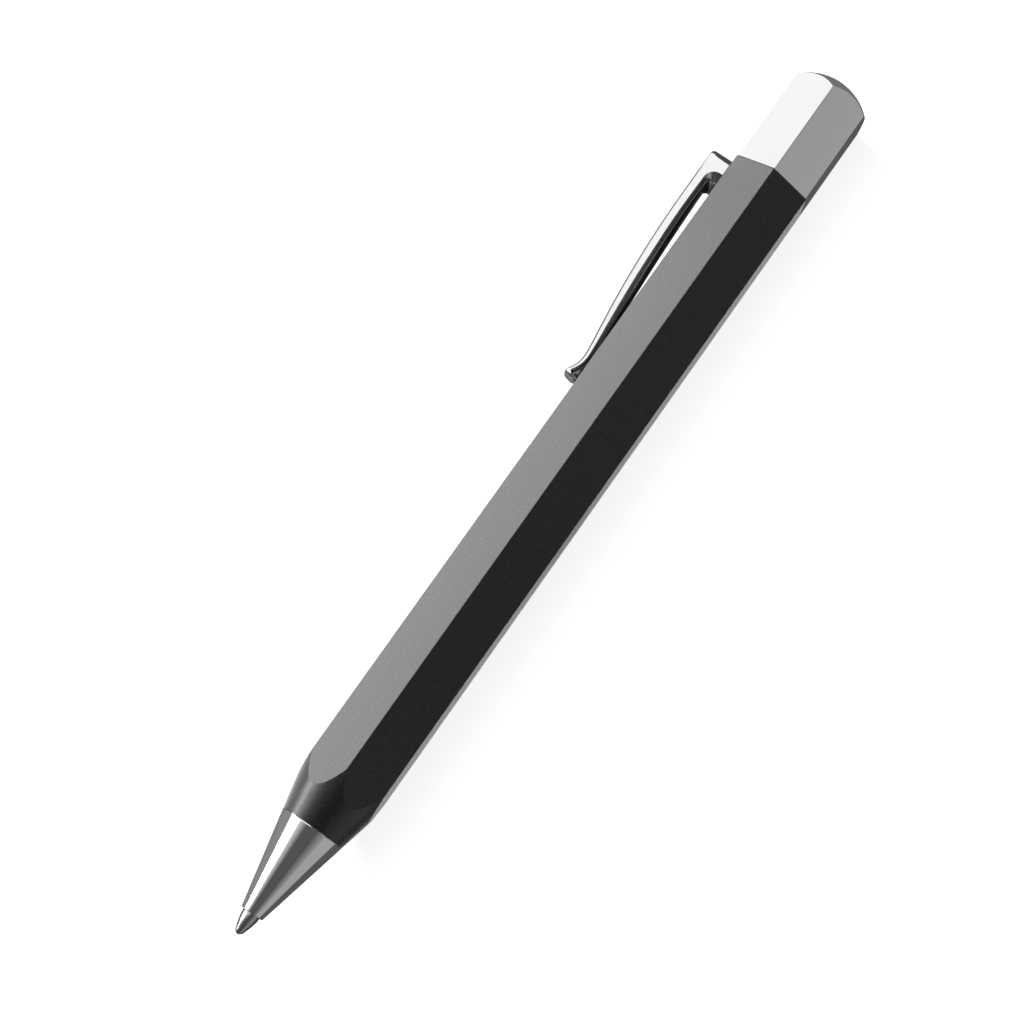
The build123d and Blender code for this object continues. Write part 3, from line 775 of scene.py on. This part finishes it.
def make_nose_cone():
    """Cone with a rounded mouth, a fine land at the seam and a spigot behind it."""
    mouth_inside = (nose_mouth, mouth_bore_radius)
    cone_front = (nose_mouth + mouth_round, nose_mouth_radius + mouth_round * tan(cone_half_angle))
    cone_length = nose_seam - nose_mouth - nose_seam_ease - nose_land
    cone_rear = (nose_mouth + cone_length, nose_mouth_radius + cone_length * tan(cone_half_angle))
    land_rear = (cone_rear[0] + nose_land, cone_rear[1] - nose_land * tan(nose_land_tilt))
    mouth_centre = (nose_mouth + mouth_round, cone_front[1] - mouth_round)
    outline = [mouth_inside]
    outline += arc(mouth_centre, mouth_round, 180, 90)
    outline += straight(cone_front, cone_rear)
    outline += straight(cone_rear, land_rear)
    outline += [(nose_seam, land_rear[1] - nose_seam_ease), (nose_seam, spigot_radius)]
    outline += straight((nose_seam, spigot_radius), (spigot_rear - spigot_lead, spigot_radius))
    outline += [(spigot_rear, spigot_radius - spigot_lead), (spigot_rear, refill_bore_radius)]
    outline += [(refill_bore_front, refill_bore_radius), (refill_bore_front, chamber_radius)]
    outline += [(spring_seat, chamber_radius), (spring_seat, neck_clear_radius)]
    outline += [(mouth_bore_rear, neck_clear_radius), (mouth_bore_rear, mouth_bore_radius)]
    dress("nose_cone_turned", turned_mesh("nose_cone_turned", outline, cone_segments), "nose_cone")


def make_refill_point():
    """Tapered point with a rim spun over its ball."""
    rim_centre = (point_rim + rim_round, rim_radius - rim_round)
    outline = [(ball_place, 0.0), (ball_place, socket_radius), (point_rim, socket_radius)]
    outline += arc(rim_centre, rim_round, 180, 110)
    taper = point_rear - point_rim
    outline += [(point_rim + taper * along, point_radius * up) for along, up in point_shares]
    outline += straight((nose_mouth, point_radius), (point_rear, point_radius))
    outline += [(point_rear, stem_radius), (stem_rear, stem_radius), (stem_rear, 0.0)]
    dress("refill_point_turned", turned_mesh("refill_point_turned", outline, point_segments), "refill_point")


# Clip: one skin through sections from the arm's foot, over its corner and down the blade to the sole.
# A section is (back, flank's edge, chamfer's edge, keel, chamfer's width, back's bevel, its roundness,
# belly's bow, share of the width).

def table_value(table, at):
    """Straight interpolation in a table of (place, value)."""
    for (near, first), (far, second) in zip(table, table[1:]):
        if at <= far:
            share = min(max((at - near) / (far - near), 0.0), 1.0)
            return first + (second - first) * share
    return table[-1][1]


def row_value(table, at):
    """Straight interpolation in a table of (place, row of millimetres), in metres."""
    places = [place for place, row in table]
    columns = zip(*(row for place, row in table))
    return [table_value(list(zip(places, column)), at) * mm for column in columns]


def smooth_path(points, start_way, end_way, steps):
    """Points on a smooth curve through the given points, with its headings at both ends."""
    spots = [Vector(point) for point in points]
    gaps = [(far - near).length for near, far in zip(spots, spots[1:])]
    slopes = [(far - near) / gap for near, far, gap in zip(spots, spots[1:], gaps)]
    ways = [Vector(start_way)]
    for before, after, gap_before, gap_after in zip(slopes, slopes[1:], gaps, gaps[1:]):
        ways.append((before * gap_after + after * gap_before) / (gap_before + gap_after))
    ways.append(Vector(end_way))
    path = [spots[0]]
    for index, gap in enumerate(gaps):
        for step in range(1, steps + 1):
            t = step / steps
            from_start = spots[index] * (2 * t**3 - 3 * t**2 + 1) + ways[index] * gap * (t**3 - 2 * t**2 + t)
            from_end = spots[index + 1] * (3 * t**2 - 2 * t**3) + ways[index + 1] * gap * (t**3 - t**2)
            path.append(from_start + from_end)
    return path


def half_width_at(place):
    """The clip's half width, which tapers from the arm to the toe."""
    share = min(max((place - taper_start) / (toe_place - taper_start), 0.0), 1.0)
    return arm_half_width + (toe_half_width - arm_half_width) * share


def arm_stations():
    """Level sections up the arm, from its foot to the corner."""
    stations = []
    for height in (arm_foot, *arm_rows, corner_height - row_gap):
        places = (arm_rear, flank_front, flank_front + arm_chamfer, arm_front)
        spots = [(place, height) for place in places]
        stations.append((*spots, arm_chamfer * arm_chamfer_slope, arm_bevel, 0.0, arm_bow, 1.0))
    return stations


def corner_stations():
    """Sections that swing round from the arm to the blade."""
    back_bend = (arm_rear + arm_corner, clip_top - arm_corner)
    flank_bend = (flank_front + flank_corner, corner_height)
    keel_bend = (arm_front + keel_corner, keel_corner_height)
    stations = []
    for step in range(corner_steps):
        share = step / corner_steps
        angle = pi - pi / 2 * share
        turned = (share - back_climb) / back_turn
        if turned < 0.0:
            back = (arm_rear, corner_height + (back_bend[1] - corner_height) * share / back_climb)
        elif turned < 1.0:
            back = on_round(back_bend, arm_corner, pi - pi / 2 * turned)
        else:
            level = (share - back_climb - back_turn) / (1.0 - back_climb - back_turn)
            back = (back_bend[0] + (flank_bend[0] - back_bend[0]) * level, clip_top)
        step_down = chamfer + (arm_chamfer - chamfer) * (1.0 - share**2)
        flank = on_round(flank_bend, flank_corner, angle)
        edge = on_round(flank_bend, flank_corner - step_down, angle)
        keel = on_round(keel_bend, keel_corner, angle)
        slimming = min(max(turned, 0.0), 1.0)
        bevel = [wide + (slim - wide) * slimming for wide, slim in zip(arm_bevel, blade_bevel)]
        slope = arm_chamfer_slope + (chamfer_width / chamfer - arm_chamfer_slope) * share
        bow = arm_bow + (blade_bow - arm_bow) * share
        stations.append((back, flank, edge, keel, step_down * slope, bevel, 0.0, bow, 1.0))
    return stations


def blade_stations():
    """Sections square to the blade's back, from the corner to the foot."""
    start = flank_front + flank_corner
    back_path = [Vector((start + blade_row * step, clip_top)) for step in range(4)]
    back_path += [point * mm for point in smooth_path(blade_back, (1.0, 0.0), foot_rise, 10)]
    keel_path = smooth_path(keel_heights, (1.0, 0.0), (1.0, -0.01), 8)
    keel_table = [(point.x * mm, point.y * mm) for point in keel_path]
    stations = []
    for index, point in enumerate(back_path[:-1]):
        before = back_path[max(index - 1, 0)]
        way = (back_path[index + 1] - before).normalized()
        inwards = Vector((way.y, -way.x))
        depth = table_value(flank_depths, point.x / mm) * mm
        step_down = chamfer * (1.0 - chamfer_slimming * point.x / toe_place)
        lead = keel_lead * max(0.0, 1.0 - (point.x - start) / keel_lead_run) ** 2
        keel_place = point.x + lead + toe_lead * point.x / toe_place
        keel = (keel_place, table_value(keel_table, keel_place))
        flank = point + inwards * depth
        edge = point + inwards * (depth + step_down)
        edge_step = table_value(chamfer_widths, point.x / mm) * mm
        stations.append((point, flank, edge, keel, edge_step, blade_bevel, 0.0, blade_bow, 1.0))
    return stations


def foot_stations():
    """Sections fanned round the foot, from the blade over its top and end to the sole."""
    path = [point * mm for point in smooth_path(foot_back, foot_rise, (-1.0, 0.0), 5)]
    sole_keel = path[-1] - sole_inset
    stations = []
    for index, point in enumerate(path):
        share = index / (len(path) - 1)
        ray = (point - foot_centre).normalized()
        angle = degrees(atan2(ray.y, ray.x))
        flank = row_value(foot_flank, angle)
        edge = row_value(foot_chamfer, angle)
        edge_step, *bevel = row_value(foot_rounding, angle)
        keel = foot_keel.lerp(sole_keel, share)
        roundness = min(share / foot_blend, 1.0)
        bow = blade_bow + (foot_bow - blade_bow) * roundness
        width = table_value(foot_widths, angle)
        stations.append((point, flank, edge, keel, edge_step, bevel, roundness, bow, width))
    return stations


def clip_section(back, flank, edge, keel, edge_step, bevel, roundness, bow, width):
    """One half of a section, from the middle of the back to the keel, as (place, height, aside)."""
    back, flank, edge, keel = (Vector(point) for point in (back, flank, edge, keel))
    inwards = (flank - back).normalized()
    bevel_depth, bevel_width = bevel
    bevel_foot = back + inwards * bevel_depth
    back_half = half_width_at(back.x) * width - bevel_width
    spots = [(*back, back_half * share) for share in back_shares]
    for share in bevel_shares:
        turn = pi / 2 * share
        fall = share + (1.0 - cos(turn) - share) * roundness
        spread = share + (sin(turn) - share) * roundness
        down = back + inwards * bevel_depth * fall
        spots.append((*down, half_width_at(down.x) * width - bevel_width * (1.0 - spread)))
    for share in flank_shares:
        down = bevel_foot.lerp(flank, share)
        spots.append((*down, half_width_at(down.x) * width))
    for share in chamfer_shares:
        down = flank.lerp(edge, share)
        spots.append((*down, half_width_at(down.x) * width - edge_step * share))
    land = chamfer_land * (1.0 - roundness)
    land_foot = edge + (edge - flank).normalized() * max(land, 2 * merge_reach)
    belly_half = half_width_at(land_foot.x) * width - edge_step - land * land_slope
    for share in land_shares:
        down = edge.lerp(land_foot, share)
        spots.append((*down, half_width_at(down.x) * width - edge_step - land * land_slope * share))
    for step in range(1, belly_steps + 1):
        aside = cos(pi / 2 * step / belly_steps)
        down = land_foot.lerp(keel, 1 - aside**bow)
        spots.append((*down, belly_half * aside))
    return spots


def add_tang(solid):
    """The clip's tang, with the hole for its pin."""
    top = arm_foot + tang_overlap
    hole_steps = 24
    turns = [2 * pi * step / hole_steps for step in range(hole_steps + 1)]
    hole = [on_round((pin_place, -pin_depth), pin_hole_radius, turn) for turn in turns]
    upper = [(tang_front, -pin_depth), (tang_front, top), (tang_rear, top), (tang_rear, -pin_depth)]
    lower = [(tang_rear, -pin_depth), (tang_rear, -tang_depth)]
    lower += [(tang_front, -tang_depth), (tang_front, -pin_depth)]
    halves = (upper + hole[:hole_steps // 2 + 1][::-1], lower + hole[hole_steps // 2:][::-1])
    for aside in (-tang_half_width, tang_half_width):
        for half in halves:
            solid.faces.new([solid.verts.new(on_clip(*spot, aside)) for spot in half])
    for rim in (upper[:-1] + lower, hole):
        for near, far in zip(rim, rim[1:]):
            spots = [on_clip(*near, -tang_half_width), on_clip(*far, -tang_half_width)]
            spots += [on_clip(*far, tang_half_width), on_clip(*near, tang_half_width)]
            solid.faces.new([solid.verts.new(spot) for spot in spots])


def make_clip():
    """The clip, with its two sides alike."""
    solid = bmesh.new()
    loops = []
    for station in arm_stations() + corner_stations() + blade_stations() + foot_stations():
        near_half = clip_section(*station)
        far_half = [(place, height, -aside) for place, height, aside in near_half[-2:0:-1]]
        loops.append([solid.verts.new(on_clip(*spot)) for spot in near_half + far_half])
    for loop, following in zip(loops, loops[1:]):
        for index in range(len(loop)):
            ahead = (index + 1) % len(loop)
            solid.faces.new((loop[index], loop[ahead], following[ahead], following[index]))
    solid.faces.new(loops[0])
    solid.faces.new(loops[-1])
    add_tang(solid)
    dress("clip_casting", close_skin(solid, "clip_casting", clip_crease), "clip")


# Springs: a round wire swept along a coil

coil_steps = 40
wire_sides = 14


def make_coil_tree():
    """A coil along the pen, from its front end."""
    tree = bpy.data.node_groups.new("coil_spring", "GeometryNodeTree")
    for label in ("Coil radius", "Wire radius", "Length", "Turns"):
        tree.interface.new_socket(label, in_out="INPUT", socket_type="NodeSocketFloat")
    tree.interface.new_socket("Front end", in_out="INPUT", socket_type="NodeSocketVector")
    tree.interface.new_socket("Finish", in_out="INPUT", socket_type="NodeSocketMaterial")
    tree.interface.new_socket("Spring", in_out="OUTPUT", socket_type="NodeSocketGeometry")
    given = tree.nodes.new("NodeGroupInput").outputs
    spiral = tree.nodes.new("GeometryNodeCurveSpiral")
    spiral.inputs["Resolution"].default_value = coil_steps
    tree.links.new(given["Turns"], spiral.inputs["Rotations"])
    tree.links.new(given["Coil radius"], spiral.inputs["Start Radius"])
    tree.links.new(given["Coil radius"], spiral.inputs["End Radius"])
    wire_width = calculate(tree, "MULTIPLY", given["Wire radius"], 2.0)
    tree.links.new(calculate(tree, "SUBTRACT", given["Length"], wire_width), spiral.inputs["Height"])
    section = tree.nodes.new("GeometryNodeCurvePrimitiveCircle")
    section.inputs["Resolution"].default_value = wire_sides
    tree.links.new(given["Wire radius"], section.inputs["Radius"])
    sweep = tree.nodes.new("GeometryNodeCurveToMesh")
    sweep.inputs["Fill Caps"].default_value = True
    tree.links.new(spiral.outputs[0], sweep.inputs["Curve"])
    tree.links.new(section.outputs[0], sweep.inputs["Profile Curve"])
    lead_in = tree.nodes.new("ShaderNodeCombineXYZ")
    tree.links.new(given["Wire radius"], lead_in.inputs["X"])
    begin = tree.nodes.new("ShaderNodeVectorMath")
    tree.links.new(given["Front end"], begin.inputs[0])
    tree.links.new(lead_in.outputs[0], begin.inputs[1])
    lay = tree.nodes.new("GeometryNodeTransform")
    lay.inputs["Rotation"].default_value = (0.0, pi / 2, 0.0)
    tree.links.new(sweep.outputs[0], lay.inputs["Geometry"])
    tree.links.new(begin.outputs[0], lay.inputs["Translation"])
    end_tree(tree, lay.outputs[0], given["Finish"])
    return tree


def make_spring(node, wire_radius, turns, bodies):
    """A coil in the box of its node; its two bodies are not used, so it follows neither."""
    low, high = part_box(node)
    front = Vector((low.x, (low.y + high.y) / 2, (low.z + high.z) / 2))
    rear = Vector((high.x, front.y, front.z))
    sizes = {"Wire radius": wire_radius, "Turns": turns, "Length": high.x - low.x, "Front end": front}
    sizes["Coil radius"] = (high.y - low.y) / 2 - wire_radius
    mesh = run_tree(coil_tree, node, sizes)
    face_outwards(mesh)
    mesh.shade_smooth()
    mesh.set_sharp_from_angle(angle=coil_crease)
    dress(node + "_coil", mesh, node, (*bodies, front, rear))


coil_tree = make_coil_tree()
make_barrel()
make_end_cap()
make_nose_cone()
make_refill_point()
make_clip()
make_spring("return_spring", *return_coil, ("barrel", "refill"))
make_spring("clip_spring", *clip_coil, ("barrel", "clip"))
finished_nodes = ("barrel", "end_cap", "nose_cone", "refill_point", "clip", "return_spring", "clip_spring")
copied_nodes = [node for node in frame["nodes"] if node not in finished_nodes]
for node in copied_nodes:
    smooth_copy(node)


# Floor, light and camera

pen_middle = Vector((0.0, 0.0, axis_height))
floor_side = 6.0
floor_grey = 0.26
floor_white = 0.88
# Painted reflection of the floor in metal: a painted shadow before the pen and lighter behind it, and a
# painted lit patch before its nose, with the edges of these
floor_metal_painted_reflection = (0.095, 0.24)
painted_reflection_turn = (-2 * mm, 5 * mm)
floor_painted_lit_patch = 0.37
beyond_painted_shadow_edge = (-9.2 * mm, -8.4 * mm)
painted_lit_patch_edge = (-47 * mm, -40 * mm)
# The floor's glow for diffuse rays, a painted bounce light on the pen's dull faces
floor_painted_bounce_glow = 4.8
key_direction = Vector((0.0, 0.7, 0.714)).normalized()
lamp_distance = 1.0
key_length = 1.2
key_width = 0.15
key_power = 10.0
front_lamp_direction = Vector((-0.35, 0.45, 0.82)).normalized()
front_lamp_length = 0.3
front_lamp_width = 0.5
front_lamp_power = 1.1
low_lamp_direction = Vector((0.35, 0.93, 0.09)).normalized()
low_lamp_length = 0.4
low_lamp_power = 150.0
card_height = 0.2 * mm
# Dark cards on the floor that only metal mirrors, as painted shade for the cap's dome and the clip's
# underside, from low to high x and from low to high y
dome_painted_shade_card = (cap_end + 2 * mm, cap_end + 60 * mm, -12 * mm, 45 * mm)
clip_painted_shade_card = (0.0, 52 * mm, 6.5 * mm, 40 * mm)
# The room's brightness by the direction looked in: where the ceiling begins and where it fades
ceiling_edge = (0.55, 0.57)
front_way = (-0.893, -0.45)
ceiling_front_fade = (0.1, 0.46)
ceiling_side_fade = (-0.56, -0.42)
ceiling_side_dim = 0.1
ceiling_dim = 0.09
# The near wall from its foot to the ceiling, its gain towards the cap, and the far wall
near_wall = (0.31, 0.07)
near_wall_gain = 1.28
near_wall_edge = (-0.2, 0.25)
far_wall = 0.26
far_wall_edge = (-0.2, 0.2)
# The walls past the nose and past the cap
nose_wall_dim = 0.3
nose_wall_edge = (-0.75, -0.45)
cap_wall_dim = 0.25
cap_wall_edge = (0.45, 0.75)
camera_lens = 85.3
camera_right = Vector((0.56989, -0.71677, -0.40183))
camera_up = Vector((0.79943, 0.37048, 0.47291))
camera_back = Vector((-0.19011, -0.59075, 0.78414))
camera_place = Vector((-0.0614, -0.1740, 0.2403))


def lay_floor():
    """Pale floor, white to the camera; it glows for dull faces as painted bounce light, and metal sees a
    painted reflection of it with a painted shadow before the pen.
    """
    mesh = bpy.data.meshes.new("floor")
    half = floor_side / 2
    corners = [(-half, -half, 0), (half, -half, 0), (half, half, 0), (-half, half, 0)]
    mesh.from_pydata(corners, [], [(0, 1, 2, 3)])
    material, tree, inputs = new_finish("pale_floor", Roughness=0.9)
    inputs["Specular IOR Level"].default_value = 0.0
    grain = place_group(tree, fine_grain, Grains_per_metre=400.0)
    grey = ramp(tree, grain["Cloud"], 0.0, 1.0, floor_grey * 0.98, floor_grey * 1.02)
    inputs["Emission Color"].default_value = (1.0, 1.0, 1.0, 1.0)
    path = tree.nodes.new("ShaderNodeLightPath").outputs
    seen_in_metal = calculate(tree, "MAXIMUM", path["Is Glossy Ray"], path["Is Transmission Ray"])
    to_camera = calculate(tree, "MULTIPLY", path["Is Camera Ray"], floor_white)
    # Painted bounce light: the floor glows for diffuse rays, so the pen's dull faces get light from it
    white_and_painted_bounce = calculate(tree, "MULTIPLY_ADD", path["Is Diffuse Ray"], floor_painted_bounce_glow, to_camera)
    spot = tree.nodes.new("ShaderNodeSeparateXYZ")
    tree.links.new(tree.nodes.new("ShaderNodeTexCoord").outputs["Object"], spot.inputs[0])
    # Painted reflection: metal sees the floor darker just before the pen as a painted shadow, lighter behind
    # it, and lighter again in a painted lit patch before the nose
    metal_painted_reflection = ramp(tree, spot.outputs["Y"], *painted_reflection_turn, *floor_metal_painted_reflection)
    beyond_painted_shadow = ramp(tree, spot.outputs["Y"], *beyond_painted_shadow_edge, 1.0, 0.0)
    by_nose = ramp(tree, spot.outputs["X"], *painted_lit_patch_edge, 1.0, 0.0)
    painted_lit_patch = calculate(tree, "MULTIPLY", beyond_painted_shadow, by_nose)
    metal_painted_reflection = blend_between(tree, painted_lit_patch, metal_painted_reflection, floor_painted_lit_patch)
    glow = calculate(tree, "MULTIPLY_ADD", seen_in_metal, metal_painted_reflection, white_and_painted_bounce)
    wire(tree, glow, inputs["Emission Strength"])
    # For metal the floor's own lit colour is dropped, so only the painted reflection shows
    lit = calculate(tree, "SUBTRACT", 1.0, seen_in_metal)
    wire(tree, calculate(tree, "MULTIPLY", grey, lit), inputs["Base Color"])
    mesh.materials.append(material)
    put_in_scene("floor", mesh)


def lay_painted_shade_cards():
    """Dark cards that paint shade into the reflections of the cap's dome and the clip's underside; the camera
    doesn't see them.
    """
    mesh = bpy.data.meshes.new("painted_shade_card")
    corners = []
    for low_x, high_x, low_y, high_y in (dome_painted_shade_card, clip_painted_shade_card):
        corners += [(low_x, low_y, card_height), (high_x, low_y, card_height)]
        corners += [(high_x, high_y, card_height), (low_x, high_y, card_height)]
    mesh.from_pydata(corners, [], [(0, 1, 2, 3), (4, 5, 6, 7)])
    material, tree, inputs = new_finish("painted_shade_card", Roughness=0.9)
    grain = place_group(tree, fine_grain, Grains_per_metre=800.0)
    # Painted shade: the cards' dark grey stands in for shade in the metal's reflections
    tint(tree, grain["Cloud"], (0.045, 0.045, 0.045), (0.06, 0.06, 0.06), inputs["Base Color"])
    mesh.materials.append(material)
    card = put_in_scene("painted_shade_card", mesh)
    card.visible_camera = False
    card.visible_shadow = False
    card.visible_diffuse = False


def light_room():
    """Soft studio: a wide glow overhead that fades to the front, grey walls and darker end walls."""
    world = bpy.data.worlds.new("studio")
    bpy.context.scene.world = world
    world.use_nodes = True
    tree = world.node_tree
    place = tree.nodes.new("ShaderNodeTexCoord")
    way = tree.nodes.new("ShaderNodeSeparateXYZ")
    tree.links.new(place.outputs["Generated"], way.inputs[0])
    x, y, z = way.outputs

    def do(operation, *values):
        return calculate(tree, operation, *values)

    ceiling = ramp(tree, z, *ceiling_edge, 0.0, 1.0)
    towards_front = do("MULTIPLY_ADD", x, front_way[0], do("MULTIPLY", y, front_way[1]))
    front_fade = ramp(tree, towards_front, *ceiling_front_fade, 1.0, ceiling_dim)
    side_fade = ramp(tree, y, *ceiling_side_fade, ceiling_side_dim, 1.0)
    overhead = do("MULTIPLY", front_fade, side_fade)
    glow = do("MULTIPLY", ceiling, do("MAXIMUM", overhead, ceiling_dim))
    near = ramp(tree, z, 0.0, ceiling_edge[0], *near_wall)
    near = do("MULTIPLY", near, ramp(tree, x, *near_wall_edge, 1.0, near_wall_gain))
    side = ramp(tree, y, *far_wall_edge, 0.0, 1.0)
    wall = blend_between(tree, side, near, far_wall)
    past_nose = ramp(tree, x, *nose_wall_edge, nose_wall_dim, 1.0)
    past_cap = ramp(tree, x, *cap_wall_edge, 1.0, cap_wall_dim)
    end_shade = do("MULTIPLY", past_nose, past_cap)
    room = do("MAXIMUM", glow, do("MULTIPLY", wall, end_shade))
    to_camera = tree.nodes.new("ShaderNodeLightPath").outputs["Is Camera Ray"]
    background = tree.nodes["Background"]
    wire(tree, blend_between(tree, to_camera, room, 1.0), background.inputs["Strength"])
    background.inputs["Color"].default_value = (1.0, 1.0, 1.0, 1.0)


def hang_lamp(name, direction, length, width, power, mirrored=True):
    """A long lamp beside the pen, that metal mirrors or that only lights dull faces."""
    light = bpy.data.lights.new(name, "AREA")
    light.shape = "RECTANGLE"
    light.size = length
    light.size_y = width
    light.energy = power
    lamp = put_in_scene(name, light)
    lamp.location = pen_middle + direction * lamp_distance
    upwards = direction.cross(Vector((1.0, 0.0, 0.0))).normalized()
    turn = Matrix((upwards.cross(direction), upwards, direction)).transposed()
    lamp.rotation_mode = "QUATERNION"
    lamp.rotation_quaternion = turn.to_quaternion()
    lamp.visible_camera = False
    lamp.visible_glossy = mirrored


def set_camera():
    """The camera that sees the pen as the photograph does."""
    camera = put_in_scene("camera", bpy.data.cameras.new("camera"))
    camera.data.lens = camera_lens
    camera.data.sensor_width = 36.0
    camera.data.clip_start = 0.01
    stand = Matrix((camera_right, camera_up, camera_back)).transposed().to_4x4()
    stand.translation = camera_place
    camera.matrix_world = stand
    bpy.context.scene.camera = camera


lay_floor()
lay_painted_shade_cards()
light_room()
hang_lamp("key_lamp", key_direction, key_length, key_width, key_power)
hang_lamp("front_lamp", front_lamp_direction, front_lamp_length, front_lamp_width, front_lamp_power)
hang_lamp("low_lamp", low_lamp_direction, low_lamp_length, key_width, low_lamp_power, mirrored=False)
set_camera()
bpy.context.scene.view_settings.view_transform = "Standard"
